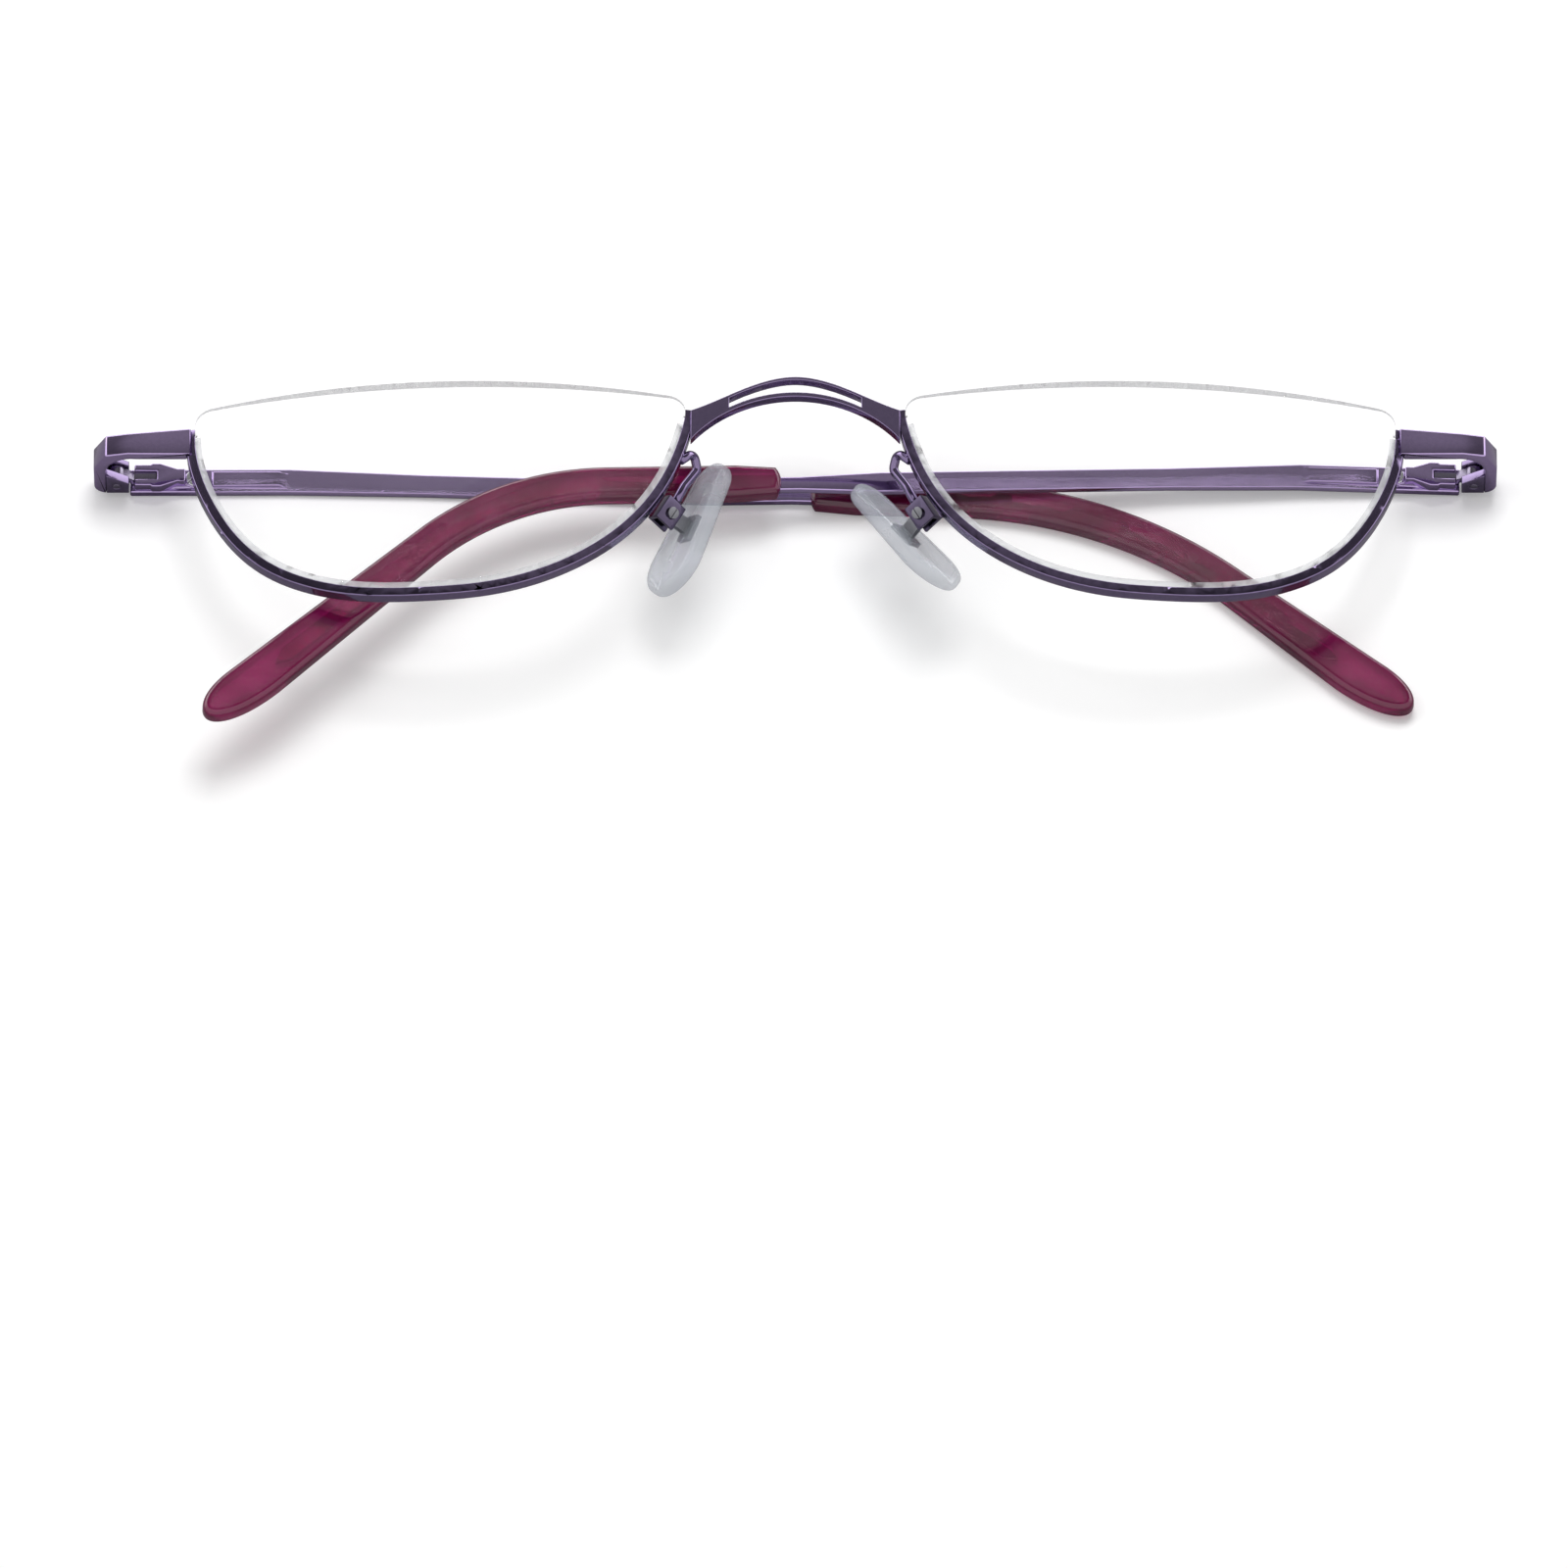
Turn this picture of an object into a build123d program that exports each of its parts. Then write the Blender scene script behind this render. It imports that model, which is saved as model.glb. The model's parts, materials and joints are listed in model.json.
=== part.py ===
from build123d import *
from math import cos, radians, sin
import os

# Half eye reading glasses, folded and lying with the lenses up.
# Millimetres. +X is to the wearer's left, +Y is up in wear, +Z points out of the face.
# The table is Z = 0 and the hinge pins lie on Y = hinge_y.
# Left pieces have side = 1 and right pieces side = -1.

os.makedirs("parts", exist_ok=True)

# Driving dimensions of the front
half_width = 69.0  # outer face of an end piece
hinge_y = 13.4  # height of the hinge pins, with the origin in the middle of the plan
front_height = 8.9  # front face of the end pieces above the table
hinge_reach = 3.5  # from the outer face to the end of a folded temple

lens_front_radius = 88.0
lens_back_radius = 186.0
lens_thickness = 2.6
lens_peak_x = 28.8
lens_peak_y = -7.5
lens_peak_height = 14.4
lens_back_x = 21.9  # sets the back so that both side edges are equally thick
lens_from_outer_face = 10.0
lens_nasal_x = 10.8
lens_top = 4.05
lens_top_x = 37.0
lens_temporal_top = 3.45
lens_nasal_top = 3.0
lens_corner_radius = 1.7
bowl_points = [
    (1.0, 0.9),
    (0.997, -1.6),
    (0.963, -7.3),
    (0.859, -14.6),
    (0.68, -18.6),
    (0.539, -19.15),
    (0.398, -18.7),
    (0.218, -15.5),
    (0.079, -9.2),
    (0.017, -2.6),
    (0.0, 0.9),
]  # share of the width from the nose outwards, and height from the pins
bowl_steps = 16
bevel_height = 0.3
bevel_inset = 0.4
bevel_thickness = 0.5
groove_clearance = 0.02

rim_width = 0.9
rim_depth = 1.35
rim_proud = 0.15  # front of the rim in front of the lens
rim_temporal_top = 1.35
rim_nasal_top = 1.6

end_piece_thickness = 1.15
end_piece_wall = 1.2
end_piece_overlap = 0.4  # of the end piece and the rim, before the rim is cut out of it
end_piece_top = 1.35
end_piece_bottom = 1.6
end_piece_narrowing = 0.45
end_piece_bend = 3.4  # from the outer face to where the outside starts to bend
end_piece_bend_inside = 4.1
end_piece_facet = 1.2  # from the outer face to the second crease
end_piece_facet_drop = 0.7
end_piece_bend_drop = 3.2
end_piece_bend_drop_inside = 4.2
end_piece_slope = 0.2
end_piece_foot_bevel = 1.1
end_piece_foot_rise = 1.3

bridge_front_height = 12.5
bridge_thickness = 1.2
bridge_rise = 5.15
bridge_shoulder_rise = 3.1
bridge_arch = 2.9
bridge_foot = -2.0
bridge_upper_band = 0.36
bridge_lower_band = 0.5
bridge_slot_half = 6.5
bridge_end_x = 10.3

# Driving dimensions of the hinges, in the frame of a folded temple:
# x runs from the pin to the tip, z is the inner normal of the temple
pin_depth = 2.2  # pin above the outer face of the temple
pin_radius = 0.4
pin_clearance = 0.03
pin_head_radius = 0.75
pin_head_height = 0.3
butt_clearance = 0.08
eye_radius = 0.9
eye_width = 1.0
side_clearance = 0.06
knuckle_top = 1.1
knuckle_bottom = 1.45

strip_thickness = 0.9
strip_width = 2.6
shaft_width = 2.2
neck_width = 1.45
core_width = 1.45
strip_length = 17.0
shaft_taper_end = 30.0
neck_taper = 8.0
neck_clearance = 2.3  # from the end of the taper to the sleeve

ridge_width = 1.7
ridge_height = 0.45
ridge_start = 9.4
ridge_slope = 1.0

box_start = 1.75
box_height = 1.2
box_arm_width = 2.3
box_lump_width = 2.6
box_lump_start = 3.3
box_lump_end = 4.3
box_waist_width = 1.4
box_end = 6.75
box_channel_width = 0.92
box_channel_floor = 0.05
box_channel_height = 0.92
box_shoulder_start = 3.95
box_shoulder_end = 4.2
box_tab_thickness = 0.3
box_tab_width = 2.0
box_screw_x = 7.75
box_screw_head_radius = 0.95
box_screw_head_height = 0.35
box_screw_radius = 0.35
box_screw_slot = 0.22

slider_body_start = 1.45
rod_radius = 0.2
stop_length = 0.45
stop_radius = 0.42
spring_wire_radius = 0.06
spring_radius = 0.32
spring_turns = 5
slide_clearance = 0.05

sleeve_length = 65.5
sleeve_start_width = 3.0
sleeve_width = 3.6
sleeve_thickness = 2.2
sleeve_outside = 0.3  # sleeve beyond the outer face of the temple
sleeve_round = 0.75
paddle_width = 4.8
core_tip_gap = 9.0

# Each temple is adjusted by hand: how far it drops behind the hinge part, the length
# from the start of its bend to the end, and the radius and angle of the bend
temple_length = 134.3
temple_drop = {1: 3.0, -1: 2.0}
tail_length = {1: 48.8, -1: 51.3}
bend_radius = {1: 28.0, -1: 45.0}
bend_angle = {1: 40.0, -1: 37.0}

# The left temple lies on the right one, which lies on the table
fold_lift = {1: 3.55, -1: 0.25}

# Driving dimensions of the nose pads
pad_length = 15.0
pad_width = 7.6
pad_top_radius = 2.7
pad_thickness = 1.7
pad_skin = 0.4  # silicone over the plate of the insert
pad_round = 0.6
pad_pivot = (12.5, -9.4, 10.6)  # outward, up from the pins, above the table
pad_splay = 30.0
pad_turn = 37.0
pad_rock = {1: 9.0, -1: -9.0}  # as photographed
pad_axis_height = 2.5
insert_length = 2.8
insert_width = 2.0
insert_depth = 0.5
lug_thickness = 0.7
lug_radius = 0.75
pad_box_length = 2.7
pad_box_wall = 0.4
pad_box_reach = 1.0
pad_box_clearance = 0.1
pad_screw_radius = 0.35
pad_screw_head_radius = 0.6
pad_screw_head_height = 0.3
pad_arm_radius = 0.45
pad_arm_bend = 0.7
pad_arm_points = [(11.25, -4.0, 11.75), (10.0, -2.6, 11.0), (9.6, -4.0, 9.9), (10.9, -6.0, 10.2)]

# Values that follow from the sizes above
butt_x = half_width - hinge_reach
lens_temporal_x = half_width - lens_from_outer_face
lens_width = lens_temporal_x - lens_nasal_x
sleeve_start = temple_length - sleeve_length
neck_x = sleeve_start - neck_clearance
neck_taper_start = neck_x - neck_taper
bend_start = {1: temple_length - tail_length[1], -1: temple_length - tail_length[-1]}
pin_height = pin_depth
pin_x = half_width - pin_depth
strip_start = pin_x - butt_x
foot_height = pin_height - strip_start + butt_clearance
lens_sphere_height = lens_peak_height - lens_front_radius
lens_back_height = lens_peak_height - lens_thickness - lens_back_radius
rim_front_radius = lens_front_radius + rim_proud
rim_back_radius = rim_front_radius - rim_depth
strip_top = strip_thickness - pin_depth
box_top = strip_top + box_height
channel_middle = strip_top + box_channel_floor + box_channel_height / 2
names = {1: "left", -1: "right"}


def save(piece, name):
    """Label a finished piece and write its file."""
    piece.part.label = name
    export_step(piece.part, f"parts/{name}.step")


def lens_centre(side, height, peak_x=lens_peak_x):
    """Centre of a lens sphere on one side."""
    return (side * peak_x, hinge_y + lens_peak_y, height)


def lens_face(side, grow=0.0):
    """Plan outline of one lens, nearly flat on top, a deep bowl below, grown by an even margin."""
    lower = [(side * (lens_nasal_x + share * lens_width), hinge_y + y) for share, y in bowl_points]
    bowl = Edge.make_spline([Vector(x, y) for x, y in lower])
    grown = []
    for step in range(bowl_steps + 1):
        along = bowl.tangent_at(step / bowl_steps)
        outward = Vector(-side * along.Y, side * along.X)
        grown.append(bowl.position_at(step / bowl_steps) + outward * grow)
    outer_corner = (side * (lens_temporal_x + grow), hinge_y + lens_temporal_top + grow)
    inner_corner = (side * (lens_nasal_x - grow), hinge_y + lens_nasal_top + grow)
    with BuildSketch() as face:
        with BuildLine():
            edge = Spline(grown)
            Line(edge @ 1, inner_corner)
            ThreePointArc(inner_corner, (side * lens_top_x, hinge_y + lens_top + grow), outer_corner)
            Line(outer_corner, edge @ 0)
        make_face()
        corners = face.vertices().filter_by_position(Axis.Y, hinge_y + 2, hinge_y + lens_top + 2)
        fillet(corners, radius=lens_corner_radius)
    return face.sketch


def open_top(side):
    """Plan region without a rim, above a wedge that runs down into the lens."""
    nasal_end = hinge_y + rim_nasal_top
    temporal_end = hinge_y + rim_temporal_top
    with BuildSketch() as region:
        with BuildLine():
            Polyline(
                (side * bridge_slot_half, nasal_end),
                (side * (lens_nasal_x + 3), nasal_end),
                (side * lens_top_x, hinge_y),
                (side * (lens_temporal_x - 3), temporal_end),
                (side * half_width, temporal_end),
                (side * half_width, hinge_y + lens_top + 2),
                (side * bridge_slot_half, hinge_y + lens_top + 2),
                close=True,
            )
        make_face()
    return region.sketch


def bevel(side, clearance):
    """The bevel that runs round a lens inside the rim, as a solid."""
    shell_outer = lens_front_radius - bevel_inset + clearance
    shell_inner = lens_front_radius - bevel_inset - bevel_thickness - clearance
    outline = lens_face(side, bevel_height + clearance)
    region = open_top(side)
    with BuildPart() as ring:
        with BuildSketch():
            add(outline)
            add(region, mode=Mode.SUBTRACT)
        extrude(amount=lens_peak_height + 2)
        with Locations(lens_centre(side, lens_sphere_height)):
            Sphere(shell_outer, mode=Mode.INTERSECT)
            Sphere(shell_inner, mode=Mode.SUBTRACT)
    return ring.part


def make_lens(side):
    """A meniscus reading lens with its bevel below."""
    edge = bevel(side, 0)
    outline = lens_face(side)
    with BuildPart() as lens:
        with BuildSketch():
            add(outline)
        extrude(amount=lens_peak_height + 2)
        with Locations(lens_centre(side, lens_sphere_height)):
            Sphere(lens_front_radius, mode=Mode.INTERSECT)
        with Locations(lens_centre(side, lens_back_height, lens_back_x)):
            Sphere(lens_back_radius, mode=Mode.SUBTRACT)
        add(edge)
    save(lens, f"lens_{names[side]}")
    return lens.part


def make_rim(side):
    """The half rim, a band that follows the lens front, with a groove for the bevel."""
    groove = bevel(side, groove_clearance)
    outside = lens_face(side, rim_width)
    inside = lens_face(side)
    region = open_top(side)
    with BuildPart() as rim:
        with BuildSketch():
            add(outside)
            add(inside, mode=Mode.SUBTRACT)
            add(region, mode=Mode.SUBTRACT)
        extrude(amount=lens_peak_height + 2)
        with Locations(lens_centre(side, lens_sphere_height)):
            Sphere(rim_front_radius, mode=Mode.INTERSECT)
            Sphere(rim_back_radius, mode=Mode.SUBTRACT)
        add(groove, mode=Mode.SUBTRACT)
    save(rim, f"rim_{names[side]}")
    return rim.part


def make_bridge(rims):
    """The bridge, an arched plate with a crescent slot, brazed between the rims."""
    slot_top = bridge_rise - bridge_upper_band
    slot_end_top = bridge_shoulder_rise - bridge_upper_band
    slot_bottom = bridge_arch + bridge_lower_band
    arch_radius = (bridge_end_x**2 + (bridge_arch - bridge_foot) ** 2) / (2 * (bridge_arch - bridge_foot))
    slot_end_bottom = slot_bottom - arch_radius + (arch_radius**2 - bridge_slot_half**2) ** 0.5
    shoulder_x = bridge_slot_half
    mid_x = bridge_slot_half / 2
    mid_rise = 0.7 * bridge_rise + 0.3 * bridge_shoulder_rise
    with BuildPart() as bridge:
        with BuildSketch(Plane((0, hinge_y, bridge_front_height - bridge_thickness))):
            with BuildLine():
                top = Spline(
                    (-bridge_end_x, rim_nasal_top - 0.25),
                    (-shoulder_x, bridge_shoulder_rise),
                    (-mid_x, mid_rise),
                    (0, bridge_rise),
                    (mid_x, mid_rise),
                    (shoulder_x, bridge_shoulder_rise),
                    (bridge_end_x, rim_nasal_top - 0.25),
                )
                Line(top @ 1, (bridge_end_x, bridge_foot))
                ThreePointArc((bridge_end_x, bridge_foot), (0, bridge_arch), (-bridge_end_x, bridge_foot))
                Line((-bridge_end_x, bridge_foot), top @ 0)
            make_face()
            with BuildLine():
                slot = Spline(
                    (-shoulder_x, slot_end_top),
                    (-mid_x, mid_rise - bridge_upper_band),
                    (0, slot_top),
                    (mid_x, mid_rise - bridge_upper_band),
                    (shoulder_x, slot_end_top),
                )
                Line(slot @ 1, (shoulder_x, slot_end_bottom))
                ThreePointArc((shoulder_x, slot_end_bottom), (0, slot_bottom), (-shoulder_x, slot_end_bottom))
                Line((-shoulder_x, slot_end_bottom), slot @ 0)
            make_face(mode=Mode.SUBTRACT)
        extrude(amount=bridge_thickness)
        for rim in rims:
            add(rim, mode=Mode.SUBTRACT)
    save(bridge, "bridge")


def cross_plane(side, offset):
    """Plane across the hinge, x outward and y up, on the near side for extruding to the far."""
    return Plane((0, hinge_y + side * offset, 0), x_dir=(side, 0, 0), z_dir=(0, -side, 0))


def make_end_piece(side, rim, lens):
    """The end piece: a strip that runs out from the rim and bends back round to the hinge."""
    inner_x = half_width - end_piece_wall
    root_x = lens_temporal_x + end_piece_overlap
    bend_x = half_width - end_piece_bend
    bend_inside_x = half_width - end_piece_bend_inside
    bevel_x = half_width - end_piece_foot_bevel
    front = front_height
    back = front_height - end_piece_thickness
    bend_end = front - end_piece_bend_drop
    inside_end = front - end_piece_bend_drop_inside
    foot_end = foot_height + end_piece_foot_rise
    with BuildPart() as piece:
        with BuildSketch(cross_plane(side, 3)):
            with BuildLine():
                Polyline((root_x, back), (root_x, front), (bend_x, front - end_piece_slope))
                Polyline(
                    (bend_x, front - end_piece_slope),
                    (half_width - end_piece_facet, front - end_piece_facet_drop),
                    (half_width, bend_end),
                )
                Line((half_width, bend_end), (half_width, foot_end))
                ThreePointArc(
                    (half_width, foot_end),
                    (half_width - 0.32 * end_piece_foot_bevel, foot_height + 0.31 * end_piece_foot_rise),
                    (bevel_x, foot_height),
                )
                Polyline((bevel_x, foot_height), (inner_x, foot_height), (inner_x, inside_end))
                ThreePointArc(
                    (inner_x, inside_end),
                    (inner_x - 0.24 * (inner_x - bend_inside_x), inside_end + 0.66 * (back - inside_end)),
                    (bend_inside_x, back - end_piece_slope),
                )
                Line((bend_inside_x, back - end_piece_slope), (root_x, back))
            make_face()
        extrude(amount=6)
        with BuildSketch():
            with BuildLine():
                top = hinge_y + end_piece_top
                bottom = hinge_y - end_piece_bottom
                Polyline(
                    (side * root_x, bottom),
                    (side * root_x, top),
                    (side * bend_x, top - end_piece_narrowing),
                    (side * (half_width + 1), top - end_piece_narrowing),
                    (side * (half_width + 1), hinge_y - knuckle_bottom),
                    (side * bend_x, hinge_y - knuckle_bottom),
                    close=True,
                )
            make_face()
        extrude(amount=front_height + 1, mode=Mode.INTERSECT)
        add(rim, mode=Mode.SUBTRACT)
        add(lens, mode=Mode.SUBTRACT)
    save(piece, f"end_piece_{names[side]}")
    return piece.part


def make_front_hinge(side):
    """Two knuckles brazed into the end piece, with a slot for the eye between them."""
    inner_x = half_width - end_piece_wall
    near_x = butt_x + butt_clearance
    slot = eye_width + 2 * side_clearance
    with BuildPart() as hinge:
        with BuildSketch(cross_plane(side, 3)):
            with BuildLine():
                Polyline(
                    (near_x, foot_height),
                    (inner_x, foot_height),
                    (inner_x, foot_height + 3.3),
                    (inner_x - 0.5, foot_height + 3.0),
                    (near_x, pin_height + 0.6),
                    close=True,
                )
            make_face()
            with Locations((pin_x, pin_height)):
                Circle(pin_radius, mode=Mode.SUBTRACT)
        extrude(amount=6)
        with BuildSketch():
            with Locations((side * pin_x, hinge_y + (knuckle_top - knuckle_bottom) / 2)):
                Rectangle(8, knuckle_top + knuckle_bottom)
            with Locations((side * pin_x, hinge_y)):
                Rectangle(8, slot, mode=Mode.SUBTRACT)
        extrude(amount=front_height, mode=Mode.INTERSECT)
    save(hinge, f"front_hinge_{names[side]}")


def make_hinge_screw(side):
    """The hinge screw, its head on the upper knuckle."""
    length = knuckle_top + knuckle_bottom
    top = Plane((side * pin_x, hinge_y + knuckle_top, pin_height), x_dir=(1, 0, 0), z_dir=(0, 1, 0))
    with BuildPart() as screw:
        with BuildSketch(top):
            Circle(pin_radius)
        extrude(amount=-length)
        with BuildSketch(top):
            Circle(pin_head_radius)
        extrude(amount=pin_head_height)
        with BuildSketch(top.offset(pin_head_height)):
            Rectangle(2 * pin_head_radius, 0.2)
        extrude(amount=-0.15, mode=Mode.SUBTRACT)
    save(screw, f"hinge_screw_{names[side]}")


def temple_plane(side, height):
    """Plane of a folded temple: x from the pin to the tip, z the inner normal."""
    lift = radians(fold_lift[side])
    pin = (side * pin_x, hinge_y, pin_height)
    along = (-side * cos(lift), 0, sin(lift))
    normal = (side * sin(lift), 0, cos(lift))
    return Plane(pin, x_dir=along, z_dir=normal).offset(height)


def temple_cross_plane(side, offset):
    """Plane across a folded temple: x to the tip, y the inner normal."""
    flat = temple_plane(side, 0)
    near = flat.origin - Vector(0, side * offset, 0)
    return Plane(near, x_dir=flat.x_dir, z_dir=(0, side, 0))


def route(side, along, across=0.0):
    """A point of a temple in its own plane, by distance from the pin and across it."""
    drop = radians(temple_drop[side])
    turn = radians(bend_angle[side])
    radius = bend_radius[side]
    bend_end = bend_start[side] + radius * turn
    start = Vector(strip_length, 0) + Vector(cos(drop), -sin(drop)) * (bend_start[side] - strip_length)
    centre = start - Vector(sin(drop), cos(drop)) * radius
    if along <= strip_length:
        point = Vector(along, across)
    elif along <= bend_start[side]:
        ahead = Vector(cos(drop), -sin(drop)) * (along - bend_start[side])
        point = start + ahead + Vector(sin(drop), cos(drop)) * across
    else:
        angle = drop + min(along - bend_start[side], radius * turn) / radius
        ahead = Vector(cos(angle), -sin(angle)) * max(along - bend_end, 0)
        point = centre + Vector(sin(angle), cos(angle)) * (radius + across) + ahead
    return (point.X, -side * point.Y)


def bent_edge(side, start, stop, half):
    """One long edge of a bent strip: a line, the arc of the bend and a line."""
    bend_end = bend_start[side] + bend_radius[side] * radians(bend_angle[side])
    middle = (bend_start[side] + bend_end) / 2
    first = route(side, bend_start[side], half)
    last = route(side, bend_end, half)
    Line(start, first)
    ThreePointArc(first, route(side, middle, half), last)
    Line(last, stop)


def make_temple(side):
    """The metal temple: the hinge end, the shaft, and the core inside the tip."""
    core_end = temple_length - core_tip_gap
    with BuildPart() as temple:
        with BuildSketch(temple_plane(side, -pin_depth)):
            with BuildLine():
                for edge in (1, -1):
                    neck = route(side, neck_x, edge * neck_width / 2)
                    Polyline(
                        route(side, strip_start, edge * strip_width / 2),
                        route(side, strip_length, edge * strip_width / 2),
                        route(side, shaft_taper_end, edge * shaft_width / 2),
                        route(side, neck_taper_start, edge * shaft_width / 2),
                        neck,
                    )
                    shoulder = route(side, core_end - core_width, edge * core_width / 2)
                    bent_edge(side, neck, shoulder, edge * core_width / 2)
                    Line(shoulder, route(side, core_end, 0))
                Line(route(side, strip_start, strip_width / 2), route(side, strip_start, -strip_width / 2))
            make_face()
        extrude(amount=strip_thickness)
        with BuildSketch(temple_cross_plane(side, ridge_width / 2)):
            Polygon(
                (ridge_start, strip_top),
                (ridge_start, strip_top + ridge_height),
                (strip_length - ridge_slope, strip_top + ridge_height),
                (strip_length, strip_top),
                align=None,
            )
        extrude(amount=ridge_width)
        with BuildSketch(temple_plane(side, -pin_depth + 0.1)):
            with Locations((box_screw_x, 0)):
                Circle(box_screw_radius)
        extrude(amount=strip_thickness, mode=Mode.SUBTRACT)
    save(temple, f"temple_{names[side]}")
    return temple.part


def make_temple_tip(side, temple):
    """The translucent sleeve pressed on the core, with its paddle end."""
    length = temple_length
    half = sleeve_width / 2
    paddle = paddle_width / 2
    plane = temple_plane(side, -pin_depth - sleeve_outside)
    upper_end = route(side, length - 4.5, paddle - 0.15)
    lower_end = route(side, length - 7.5, -paddle)
    nose = route(side, length, 0.7)
    ahead = Vector(*route(side, length, 0)) - Vector(*route(side, length - 1, 0))
    with BuildPart() as tip:
        with BuildSketch(plane):
            with BuildLine():
                for edge, stop in ((1, upper_end), (-1, lower_end)):
                    corner = route(side, sleeve_start + 4, edge * half)
                    Line(route(side, sleeve_start, edge * sleeve_start_width / 2), corner)
                    bent_edge(side, corner, stop, edge * half)
                Spline(upper_end, nose, lower_end, tangents=[ahead, -ahead])
                ThreePointArc(
                    route(side, sleeve_start, sleeve_start_width / 2),
                    route(side, sleeve_start - 0.5, 0),
                    route(side, sleeve_start, -sleeve_start_width / 2),
                )
            make_face()
        extrude(amount=sleeve_thickness)
        flats = tip.faces().filter_by(Axis(plane.origin, plane.z_dir))
        fillet(flats.edges(), radius=sleeve_round)
        add(temple, mode=Mode.SUBTRACT)
    save(tip, f"temple_tip_{names[side]}")


def make_spring_box(side):
    """The box on the temple's inner face that holds the spring."""
    arm = box_arm_width / 2
    lump = box_lump_width / 2
    waist = box_waist_width / 2
    tab = box_tab_width / 2
    tab_end = box_screw_x + tab
    outline = [
        (box_start, arm),
        (box_lump_start, arm),
        (box_lump_start + 0.2, lump),
        (box_lump_end, lump),
        (box_end - 0.8, waist),
        (box_end, waist),
    ]
    with BuildPart() as box:
        with BuildSketch(temple_plane(side, strip_top)):
            Polygon(*outline, *[(x, -y) for x, y in reversed(outline)], align=None)
        extrude(amount=box_height)
        with BuildSketch(temple_plane(side, strip_top)):
            with Locations(((box_waist_width / 2 + box_end - 1 + box_screw_x) / 2, 0)):
                Rectangle(box_screw_x - box_end + 1, box_waist_width)
            with Locations((box_screw_x, 0)):
                Circle(tab)
                Circle(box_screw_radius, mode=Mode.SUBTRACT)
        extrude(amount=box_tab_thickness)
        with BuildSketch(temple_cross_plane(side, box_channel_width / 2)):
            Polygon(
                (box_start - 1, strip_top + box_channel_floor),
                (box_shoulder_start, strip_top + box_channel_floor),
                (box_shoulder_start, strip_top + box_channel_floor + box_channel_height),
                (box_lump_end, box_top + 1),
                (box_start - 1, box_top + 1),
                align=None,
            )
        extrude(amount=box_channel_width, mode=Mode.SUBTRACT)
        with BuildSketch(bore_plane(side, box_shoulder_start - 0.1)):
            Circle(rod_radius + pin_clearance)
        extrude(amount=box_end - box_shoulder_start - 0.1, mode=Mode.SUBTRACT)
        with BuildSketch(bore_plane(side, box_shoulder_end)):
            Circle(box_channel_width / 2)
        extrude(amount=box_end - 0.2 - box_shoulder_end, mode=Mode.SUBTRACT)
    save(box, f"spring_box_{names[side]}")


def bore_plane(side, along):
    """Plane square to the spring bore, at a distance from the pin."""
    flat = temple_plane(side, channel_middle)
    centre = flat.origin + flat.x_dir * along
    return Plane(centre, x_dir=(0, 1, 0), z_dir=flat.x_dir)


def make_hinge_slider(side):
    """The slider: the eye round the hinge screw, the body in the box and the rod behind it."""
    body_top = strip_top + box_channel_floor + box_channel_height - slide_clearance
    body_bottom = strip_top + box_channel_floor + slide_clearance
    body_end = box_shoulder_start - slide_clearance
    neck_end = box_start - side_clearance
    foot_clear = pin_height - foot_height + butt_clearance
    with BuildPart() as slider:
        with BuildSketch(temple_cross_plane(side, eye_width / 2)):
            Circle(eye_radius)
            Polygon(
                (0, -eye_radius),
                (foot_clear, -eye_radius),
                (slider_body_start, body_bottom),
                (neck_end, body_bottom),
                (neck_end, body_top),
                (eye_radius / 3, eye_radius * 0.94),
                align=None,
            )
            Circle(pin_radius + pin_clearance, mode=Mode.SUBTRACT)
        extrude(amount=eye_width)
        body_width = box_channel_width - 2 * slide_clearance
        with BuildSketch(temple_cross_plane(side, body_width / 2)):
            Polygon(
                (slider_body_start, body_bottom),
                (body_end, body_bottom),
                (body_end, body_top),
                (slider_body_start, body_top),
                align=None,
            )
        extrude(amount=body_width)
        with BuildSketch(bore_plane(side, body_end - 0.2)):
            Circle(rod_radius)
        extrude(amount=box_end - 0.3 - body_end + 0.2)
    save(slider, f"hinge_slider_{names[side]}")


def make_spring_parts(side):
    """The coil spring on the slider's rod and the stop behind it."""
    stop_start = box_end - 0.3 - stop_length
    with BuildPart() as stop:
        with BuildSketch(bore_plane(side, stop_start)):
            Circle(stop_radius)
            Circle(rod_radius, mode=Mode.SUBTRACT)
        extrude(amount=stop_length)
    save(stop, f"spring_stop_{names[side]}")
    coil_length = stop_start - box_shoulder_end - 4 * spring_wire_radius
    seat = bore_plane(side, box_shoulder_end + 2 * spring_wire_radius)
    with BuildPart() as spring:
        with BuildLine():
            coil = Helix(
                pitch=coil_length / spring_turns,
                height=coil_length,
                radius=spring_radius,
                center=seat.origin,
                direction=seat.z_dir,
            )
        with BuildSketch(Plane(coil @ 0, z_dir=coil % 0)):
            Circle(spring_wire_radius)
        sweep(is_frenet=True)
    save(spring, f"hinge_spring_{names[side]}")


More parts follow.
